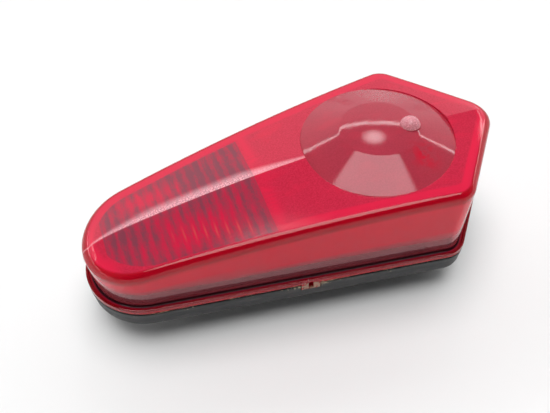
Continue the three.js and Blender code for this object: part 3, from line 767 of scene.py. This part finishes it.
weld = solid("weld_flash", [(weld_bead(), False)])
smooth(weld, 40)
old_sealant = finish_of("old_sealant", Roughness=0.85)
crumbs = pattern(old_sealant, (0.6, 0.6, 0.6), Detail=8.0)
patches = pattern(old_sealant, (0.07, 0.07, 0.07), Detail=3.0)
pale = remapped(old_sealant, combined(old_sealant, "MULTIPLY", crumbs, patches), 0.2, 0.36)
into(old_sealant, layered(old_sealant, pale, (0.06, 0.03, 0.02), (0.45, 0.3, 0.17)), "Base Color")
relief(old_sealant, (crumbs, 0.25))
belongs(weld, old_sealant, "lamp_body", "sealant", "weld_bead")


# ---- Rear housing ----
# A shallow black plastic tray with a rounded foot, a twist-in hole for the socket, three bosses
# for the fixing studs, and ribs and a collar inside.

BULB_AXIS = (WINDOW_X, 0, 0)
THREE_WAYS = (0, 120, 240)
MIDDLE = -9

# Rows across the floor and round the rim: outward offset and height. A row at MIDDLE is pressed
# flat onto the lamp's middle line.
housing_rows = []
for offset, z in [
    (MIDDLE, -12.7), (-6, -12.7), (-2.4, -12.7), (-1.4, -12.62), (-0.6, -12.4), (0, -12.05),
    (0.4, -11.6), (0.65, -11.1), (0.9, -10.2), (1.05, -8.5), (1.25, -6.5), (1.45, -4.5),
    (1.55, -3.7), (1.52, -3.45), (1.4, -3.3), (-0.8, -3.3), (-1, -3.45), (-1.1, -4.5),
    (-1.8, -9.3), (-2.3, -10.1), (-3.5, -10.5), (MIDDLE, -10.5),
]:
    x, y = loop(fine, offset)
    housing_rows.append(np.stack([x, y * (offset != MIDDLE), z + 0 * x], 1))
tray = solid("housing_tray", [(np.array(housing_rows), True)])
STUDS = ((40, 0), (152, 29), (152, -29))
bosses = [
    revolved("boss", [(0, -11), (7.9, -11), (8, -13.2), (7.7, -13.5), (0, -13.5)], (*stud, 0), 64)
    for stud in STUDS
]
collar = revolved(
    "collar", [(24.2, -11), (25.6, -11), (25.6, -7.6), (25.4, -7.5), (24.2, -7.5)], BULB_AXIS)
ribs = [rounded_block("rib", (76, side * 12, -9), (26, 0.8, 2.5), 0.3) for side in (-1, 1)]
tray = joined(tray, "UNION", *bosses, collar, *ribs)


def sector(name, inner, outer, start, end, low, high):
    """Part of a ring round the socket's axis: a rectangle turned from one angle to another."""
    a = np.radians(np.linspace(start, end, 24))
    r, z = np.array([(inner, low), (outer, low), (outer, high), (inner, high), (inner, low)]).T
    grid = np.stack([
        WINDOW_X + r * np.cos(a)[:, None], r * np.sin(a)[:, None], np.repeat(z[None], 24, 0)
    ], 2)
    return solid(name, [(capped(grid), False)])


stops = [sector("stop", 17.6, 20.3, a - 28, a - 21, -11, -7.9) for a in THREE_WAYS]
tray = joined(tray, "UNION", *stops)
hole = revolved("hole", [(0, -14), (17, -14), (17, -6), (0, -6)], BULB_AXIS)
notches = [sector("notch", 15, 20.8, a + 23, a + 67, -14, -9.5) for a in THREE_WAYS]
bores = [revolved("bore", [(0, -15), (2.8, -15), (2.8, 0), (0, 0)], (*stud, 0), 40) for stud in STUDS]
drain = on_flank("drain", 1, -3.2, (4.55, 5, 3.2), 0.3)
tray = joined(tray, "DIFFERENCE", hole, *notches, *bores, drain)
smooth(tray, 30)
x, y, z = lamp_points(tray).T
hold(tray, "residue", sealant_traces(x, y) * np.clip((z + 6.5) / 2.5, 0, 1))

black_plastic = finish_of("black_plastic", Specular_IOR_Level=0.4)
grain = pattern(black_plastic, (3, 3, 3), Detail=4.0)
scuffs = pattern(black_plastic, (0.12, 0.5, 1.6), (0, 0, 0.14), Detail=7.0)
dust = pattern(black_plastic, (0.05, 0.05, 0.3), Detail=5.0)
worn = remapped(black_plastic, combined(black_plastic, "MULTIPLY", scuffs, dust), 0.24, 0.5)
worn = layered(black_plastic, worn, (0.015, 0.017, 0.019), (0.11, 0.105, 0.1))
crust = pattern(black_plastic, (0.9, 0.9, 0.9), Detail=6.0)
crust = plus(black_plastic, crust, held(black_plastic, "residue"), 0.4)
crust = remapped(black_plastic, crust, 0.74, 0.84, 0, 0.85)
into(black_plastic, layered(black_plastic, crust, worn, (0.42, 0.34, 0.22)), "Base Color")
into(black_plastic, remapped(black_plastic, scuffs, 0.3, 0.7, 0.38, 0.62), "Roughness")
relief(black_plastic, (grain, 0.03), (scuffs, 0.05))
belongs(tray, black_plastic, "lamp_body", "black_plastic", "rear_housing")


# ---- Reflector ----
# A metallised dish round the bulb, on a skirt that stands inside the housing's collar. The dish
# climbs with the square of its radius.

dish_r = np.array([14.6, 16, 18, 20.3, 22.6, 23.8, 26, 28, 30, 31, 32])
dish_z = -3.5 + 19 * (dish_r**2 - dish_r[0] ** 2) / (dish_r[-1] ** 2 - dish_r[0] ** 2)
reflector = revolved("reflector_dish", [
    *zip(dish_r, dish_z), (32.6, 15.6), (33.2, 15.3), (33.2, 14.3),
    *zip(dish_r[:4:-1], dish_z[:4:-1] - 1.6), (23.8, -10.2), (22.6, -10.2),
    *zip(dish_r[4::-1], dish_z[4::-1] - 1.6),
], BULB_AXIS, 128)
smooth(reflector, 40)
bright_metal = finish_of("bright_metal", Base_Color=(0.86, 0.86, 0.88, 1), Metallic=1.0)
haze = pattern(bright_metal, (0.08, 0.08, 0.08), Detail=6.0)
into(bright_metal, remapped(bright_metal, haze, 0.35, 0.7, 0.1, 0.35), "Roughness")
relief(bright_metal, (haze, 0.15))
belongs(reflector, bright_metal, "lamp_body", "reflector_metal", "reflector")


# ---- Bulb ----
# A twin-filament signal bulb: clear glass on a pinched stem, cemented into a brass bayonet base
# with two pins at different heights and two soldered contacts. It turns and slides in its socket.


def eased(profile, radius, steps=5, open_ends=False):
    """A profile with its corners rounded: each corner P becomes (1-t)^2 A + 2t(1-t) P + t^2 B,
    where A and B lie on its two sides. Corners on the axis, and open ends, stay sharp."""
    p = np.array(profile, float)
    back, on = np.roll(p, 1, 0) - p, np.roll(p, -1, 0) - p
    back_long, on_long = np.linalg.norm(back, axis=1), np.linalg.norm(on, axis=1)
    a = p + back * (np.minimum(radius, 0.48 * back_long) / back_long)[:, None]
    b = p + on * (np.minimum(radius, 0.48 * on_long) / on_long)[:, None]
    fixed = p[:, 0] == 0
    if open_ends:
        fixed[[0, -1]] = True
    a[fixed] = b[fixed] = p[fixed]
    t = np.linspace(0, 1, steps)[:, None, None]
    bent = (1 - t) ** 2 * a + 2 * t * (1 - t) * p + t**2 * b
    return bent.transpose(1, 0, 2).reshape(-1, p.shape[1])


def swept(name, path, section, level):
    """A closed section carried along a path. Its first number is measured along the part of the
    level direction that is square to the path, its second square to both."""
    steps = np.linalg.norm(np.diff(path, axis=0), axis=1)
    path = np.array(path, float)[np.concatenate([[True], steps > 1e-6])]
    along = np.gradient(path, axis=0)
    along /= np.linalg.norm(along, axis=1)[:, None]
    first = level - (along @ level)[:, None] * along
    first /= np.linalg.norm(first, axis=1)[:, None]
    s = np.array(section, float)
    grid = (path[:, None] + s[None, :, :1] * first[:, None]
            + s[None, :, 1:] * np.cross(along, first)[:, None])
    return solid(name, [(capped(grid), True)])


def round_wire(radius, sides=14):
    """A wire's section: a circle of the given radius."""
    a = np.linspace(0, 2 * np.pi, sides, endpoint=False)
    return radius * np.stack([np.cos(a), np.sin(a)], 1)


def finished(piece, material, body, slot, *nodes, degrees=35):
    """Shades a piece smooth, then gives it its finish, body and parts; the slot is passed on but not
    used.
    """
    smooth(piece, degrees)
    belongs(piece, material, body, slot, *nodes)


def handled(name, fresh, worn, rough, size, height, **settings):
    """A finish with cloudy patches and specks: two colours mixed by a pattern of the given size in
    millimetres, with roughness between two values and a slight relief."""
    made = finish_of(name, **settings)
    clouds = pattern(made, [1 / k for k in size], Detail=7.0, Roughness=0.6)
    specks = pattern(made, (2.2, 2.2, 2.2), Detail=4.0)
    into(made, layered(made, remapped(made, clouds, 0.35, 0.68), fresh, worn), "Base Color")
    into(made, remapped(made, clouds, 0.3, 0.7, *rough), "Roughness")
    relief(made, (clouds, height), (specks, height * 0.4))
    return made


clear_glass = finish_of("clear_glass", Transmission_Weight=1.0, IOR=1.5)
film = pattern(clear_glass, (0.15, 0.15, 0.08), Detail=5.0)
smeared = remapped(clear_glass, film, 0.45, 0.8)
into(clear_glass, layered(clear_glass, smeared, (1.0, 1.0, 1.0), (0.72, 0.7, 0.66)), "Base Color")
into(clear_glass, remapped(clear_glass, film, 0.4, 0.8, 0.01, 0.12), "Roughness")
relief(clear_glass, (film, 0.04))
brass = handled("brass", (0.74, 0.55, 0.27), (0.36, 0.24, 0.11), (0.2, 0.48), (4, 4, 7), 0.03,
                Metallic=1.0)
black_glass = handled("black_glass", (0.012, 0.012, 0.014), (0.04, 0.038, 0.036), (0.08, 0.25),
                      (3, 3, 3), 0.03)
solder = handled("solder", (0.62, 0.62, 0.63), (0.3, 0.3, 0.31), (0.3, 0.55), (0.8, 0.8, 0.8), 0.08,
                 Metallic=1.0)
drawn_wire = handled("drawn_wire", (0.66, 0.65, 0.62), (0.4, 0.39, 0.38), (0.25, 0.4),
                     (0.5, 0.5, 3), 0.01, Metallic=1.0)
tungsten = handled("tungsten", (0.3, 0.3, 0.33), (0.14, 0.14, 0.16), (0.35, 0.55),
                   (0.4, 0.4, 0.4), 0.02, Metallic=1.0)

BASE_R, PIN_R, CONTACT_Y = 7.6, 1.0, 3.2
PIN_LEVELS = (("upper", 1, -7.5), ("lower", -1, -10.5))
SIDES = (("tail", -1), ("stop", 1))
COIL_HALF, COIL_R, COIL_TURNS = 2.7, 0.7, 10
glass_profile = [
    (6.9, -2), (6.9, 5.5), (9.2, 9.5), (12.1, 14), (13.3, 20), (12.2, 27), (8.2, 33.4), (3.4, 36.4),
    (0, 36.5), (0, 35.9), (3.2, 35.8), (7.8, 32.9), (11.6, 26.8), (12.7, 20), (11.5, 14.3),
    (8.6, 9.9), (6.3, 5.8), (6.3, -2),
]
finished(revolved("glass", eased(glass_profile, 3, 7), BULB_AXIS, 80), clear_glass, "bulb", "clear_glass",
         "bulb_glass", degrees=50)
finished(revolved("stem", eased([(0, -1), (5.4, -1), (3, 3), (2.4, 8), (0, 8)], 1), BULB_AXIS, 48),
         clear_glass, "bulb", "clear_glass", "bulb_stem")
base_profile = [
    (7.2, 3.5), (BASE_R, 3.5), (BASE_R, 2.6), (7.42, 2.3), (BASE_R, 2), (BASE_R, -13.6), (7.42, -14.5),
    (6.6, -14.5), (6.6, -14), (7.2, -13.6),
]
finished(revolved("base", eased(base_profile, 0.25), BULB_AXIS), brass, "bulb", "brass", "bulb_base")
finished(revolved("insulator", eased([(0, -15), (5.4, -15), (6.3, -14.4), (6.3, -12.8), (0, -12.8)], 0.4),
                  BULB_AXIS, 64), black_glass, "bulb", "black_glass", "bulb_insulator")
quarter = np.radians(np.linspace(0, 90, 9))
drop = [(0, -15), *zip(1.6 * np.cos(quarter), -15 - np.sin(quarter))]
for place, side in SIDES:
    finished(revolved("contact_" + place, drop, (WINDOW_X, side * CONTACT_Y, 0), 32),
             solder, "bulb", "solder", "bulb_contact_" + place)
    leg = [(side * 1.2, 0, 8), (side * 1.2, 0, 10), (side * 3.6, 0, 13), (side * 3.6, 0, 21)]
    leg = eased(np.array(leg) + BULB_AXIS, 1.6, 8, open_ends=True)
    finished(swept("leg_" + place, leg, round_wire(0.3), np.array([0, 1, 0])),
             drawn_wire, "bulb", "wire", "lead_wire_" + place)
for place, level in (("tail", 16), ("stop", 20)):
    share = np.linspace(0, 1, 260)
    wide = COIL_R * np.minimum(1, 9 * np.minimum(share, 1 - share))
    turn = 2 * np.pi * COIL_TURNS * share
    along = COIL_HALF * (2 * share - 1)
    coil = np.stack([along, wide * np.cos(turn), level + wide * np.sin(turn)], 1)
    coil = np.concatenate([[[-3.6, 0, level - 0.4]], coil, [[3.6, 0, level - 0.4]]]) + BULB_AXIS
    finished(swept("coil_" + place, coil, round_wire(0.11, 8), np.array([1, 0, 0])),
             tungsten, "bulb", "tungsten", "filament_" + place)
for place, side, level in PIN_LEVELS:
    pin = eased([(0, 7.7), (PIN_R, 7.7), (PIN_R, 8.9), (0, 8.9)], 0.3)
    finished(revolved("pin_" + place, pin, (WINDOW_X, 0, level), 32, (0, side, 0)),
             brass, "bulb", "brass", "bulb_pin_" + place)


# ---- Socket ----
# A grey plastic holder that twists into the housing on three tabs and seals on a rubber ring. A
# steel sleeve takes the bulb's pins, and brass strips run from the plug's mouth to the springs.

grey_plastic = handled("grey_plastic", (0.085, 0.09, 0.095), (0.16, 0.16, 0.155), (0.42, 0.6),
                       (6, 6, 9), 0.03)
rubber = handled("rubber", (0.018, 0.018, 0.019), (0.055, 0.052, 0.048), (0.7, 0.92),
                 (2.5, 2.5, 2.5), 0.06)
steel = handled("steel", (0.62, 0.63, 0.66), (0.34, 0.32, 0.29), (0.22, 0.5), (5, 5, 5), 0.03,
                Metallic=1.0)
bakelite = handled("bakelite", (0.17, 0.075, 0.035), (0.09, 0.04, 0.02), (0.45, 0.65),
                   (0.5, 3, 3), 0.05)

holder_profile = [
    (0, -24.4), (11.3, -24.4), (12.3, -23.4), (12.3, -16.4), (21, -16.4), (21, -13.8), (16.6, -13.8),
    (16.6, -7.4), (9.6, -7.4), (9.6, -14.6), (8.7, -14.6), (8.7, -23), (0, -23),
]
holder = revolved("holder", eased(holder_profile, 0.4), BULB_AXIS, 120)
holder = joined(
    holder, "UNION", *[sector("tab", 16, 20.3, a - 20, a + 20, -10.2, -7.7) for a in THREE_WAYS],
    *[sector("grip", 11.8, 14.6, a - 7, a + 7, -23.4, -16) for a in (-60, 0, 60)],
    rounded_block("shroud", (WINDOW_X - 19.1, 0, -20.3), (7.9, 7.6, 4.1), 0.9),
    rounded_block("latch", (WINDOW_X - 23.25, 0, -15.9), (1.75, 2, 0.7), 0.3),
)
holder = joined(holder, "DIFFERENCE", rounded_block(
    "mouth", (WINDOW_X - 20.75, 0, -20.3), (7.25, 6.1, 2.6), 0.6))
finished(holder, grey_plastic, "socket", "grey_plastic", "socket_body", degrees=30)
gasket = eased([(17.2, -13.8), (20.8, -13.8), (20.8, -12.8), (17.2, -12.8)], 0.4)
finished(revolved("gasket", gasket, BULB_AXIS), rubber, "socket", "rubber", "socket_gasket")

sleeve = eased([(7.9, -21.6), (8.4, -21.6), (8.4, -0.5), (7.9, -0.5)], 0.12)
sleeve = revolved("sleeve", sleeve, BULB_AXIS)
for place, side, level in PIN_LEVELS:
    angle, low = 180 - 90 * side, level - 3.3
    sleeve = joined(
        sleeve, "DIFFERENCE", sector("entry", 7, 9.4, angle + 14, angle + 34, low, 0.5),
        sector("turn", 7, 9.4, angle - 10, angle + 34, low, level - 0.7),
        sector("rest", 7, 9.4, angle - 10, angle + 10, low, level + 1.3),
    )
finished(sleeve, steel, "socket", "steel", "socket_shell")

SPRING_R, SPRING_TURNS = 1.9, 4.5
for place, side in SIDES:
    y = side * (CONTACT_Y + 0.4)
    bent = [(-20.5, y, -20.3), (-10.1, y, -20.3), (-10.1, y, -22.6), (2.5, y, -22.6)]
    bent = eased(np.array(bent) + BULB_AXIS, 0.9, 6, open_ends=True)
    blade = eased([(-1.1, -0.4), (1.1, -0.4), (1.1, 0.4), (-1.1, 0.4)], 0.12, 3)
    finished(swept("blade_" + place, bent, blade, np.array([0, 1, 0])),
             brass, "socket", "brass", "terminal_" + place, degrees=50)
    share = np.linspace(0, 1, 200)
    turn = 2 * np.pi * SPRING_TURNS * share
    climb = -21.9 + 3.3 * np.interp(share, [0, 0.18, 0.82, 1], [0, 0.06, 0.94, 1])
    spring = np.stack([SPRING_R * np.cos(turn), side * CONTACT_Y + SPRING_R * np.sin(turn), climb], 1)
    spring += BULB_AXIS
    spring = swept("spring_" + place, spring, round_wire(0.3, 10), np.array([0, 0, 1]))
    finished(spring, steel, "socket", "steel", "contact_spring_" + place)
    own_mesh(spring)
bent = [(-20.5, 0, -20.3), (-8.75, 0, -20.3), (-8.75, 0, -16.6)]
bent = eased(np.array(bent) + BULB_AXIS, 0.9, 6, open_ends=True)
blade = eased([(-0.9, -0.25), (0.9, -0.25), (0.9, 0.25), (-0.9, 0.25)], 0.1, 3)
finished(swept("blade_earth", bent, blade, np.array([0, 1, 0])),
         brass, "socket", "brass", "terminal_earth", degrees=50)

plate = revolved("plate", eased([(0, -18.3), (7.5, -18.3), (7.5, -17), (0, -17)], 0.2), BULB_AXIS)
for place, side in SIDES:
    centre = (WINDOW_X, side * CONTACT_Y, 0)
    hole = revolved("hole", [(0, -20), (1, -20), (1, -16), (0, -16)], centre, 24)
    plate = joined(plate, "DIFFERENCE", hole)
    rivet = [(0, -19.3), (0.9, -19.3), (0.9, -17), (1.7, -17), (1.6, -16.2), (0, -16.05)]
    finished(revolved("rivet_" + place, eased(rivet, 0.4), centre, 32),
             brass, "contact_carrier", "brass", "contact_rivet_" + place)
finished(plate, bakelite, "contact_carrier", "bakelite", "contact_plate")


# ---- Fixings ----
# Three M5 studs headed inside the housing. On each a rubber isolator with a spigot for the
# bracket's hole, a zinc-plated washer and a hexagon nut.


THREAD_PITCH, THREAD_DEPTH = 0.8, 0.42


def stud_surface(centre):
    """Rows from the end's middle up to the head's: the radius dips by a triangle wave of height
    over the pitch, less the angle's share of a turn, faded out at both ends of the thread."""
    threaded = np.arange(-25.9, -15.5, 0.1)
    z = np.array([-26, -26, *threaded, -15.4, -10.5, -10.5, -8.6, -8.3, -8, -8])
    r = np.array([0, 2.1, *np.clip(threaded + 28.1, 2.1, 2.5), 2.5, 2.5, 5.5, 5.5, 5.4, 5, 0])
    cut = THREAD_DEPTH * np.interp(z, [-26, -25.5, -17, -16], [0, 1, 1, 0])
    a = np.linspace(0, 2 * np.pi, 48, endpoint=False)
    wave = np.abs((z[:, None] / THREAD_PITCH - a / (2 * np.pi)) % 1 - 0.5) * 2
    r = np.maximum(r[:, None] - cut[:, None] * wave, 0)
    return np.stack([r * np.cos(a), r * np.sin(a), z[:, None] + 0 * r], 2) + centre


NUT_FLAT_R, NUT_BORE_R = 4, 2.55


def nut_surface(centre):
    """Rows round the nut: a hexagon's radius, its flats' over the cosine of the angle from the
    nearest flat's middle, held under a cone near both faces, with a plain bore inside."""
    a = np.linspace(0, 2 * np.pi, 120, endpoint=False)
    hexagon = NUT_FLAT_R / np.cos(a % (np.pi / 3) - np.pi / 6)
    climb = np.linspace(0, 0.7, 8)
    z = np.concatenate([[-24.5], -24.5 + climb, -20.5 - climb[::-1], [-20.5, -24.5]])
    cone = np.concatenate([[NUT_BORE_R], 3.9 + climb, 3.9 + climb[::-1], [NUT_BORE_R, NUT_BORE_R]])
    r = np.minimum(hexagon, cone[:, None])
    return np.stack([r * np.cos(a), r * np.sin(a), z[:, None] + 0 * r], 2) + centre


pad = [(2.8, -13.5), (8, -13.5), (8, -16.5), (5.5, -16.5), (5.5, -19), (2.8, -19)]
ring = [(2.8, -20.5), (7.5, -20.5), (7.5, -19.3), (2.8, -19.3)]
for number, (x, y) in enumerate(STUDS, 1):
    centre = (x, y, 0)
    finished(solid(f"threaded_stud_{number}", [(stud_surface(centre), True)]),
             steel, "lamp_body", "steel", f"stud_{number}", degrees=40)
    finished(revolved(f"pad_{number}", eased(pad, 0.5), centre, 64),
             rubber, "lamp_body", "rubber", f"isolator_{number}")
    finished(revolved(f"plain_washer_{number}", eased(ring, 0.2), centre, 64),
             steel, "lamp_body", "steel", f"washer_{number}")
    finished(solid(f"hexagon_nut_{number}", [(nut_surface(centre), True)]),
             steel, "lamp_body", "steel", f"nut_{number}", degrees=25)
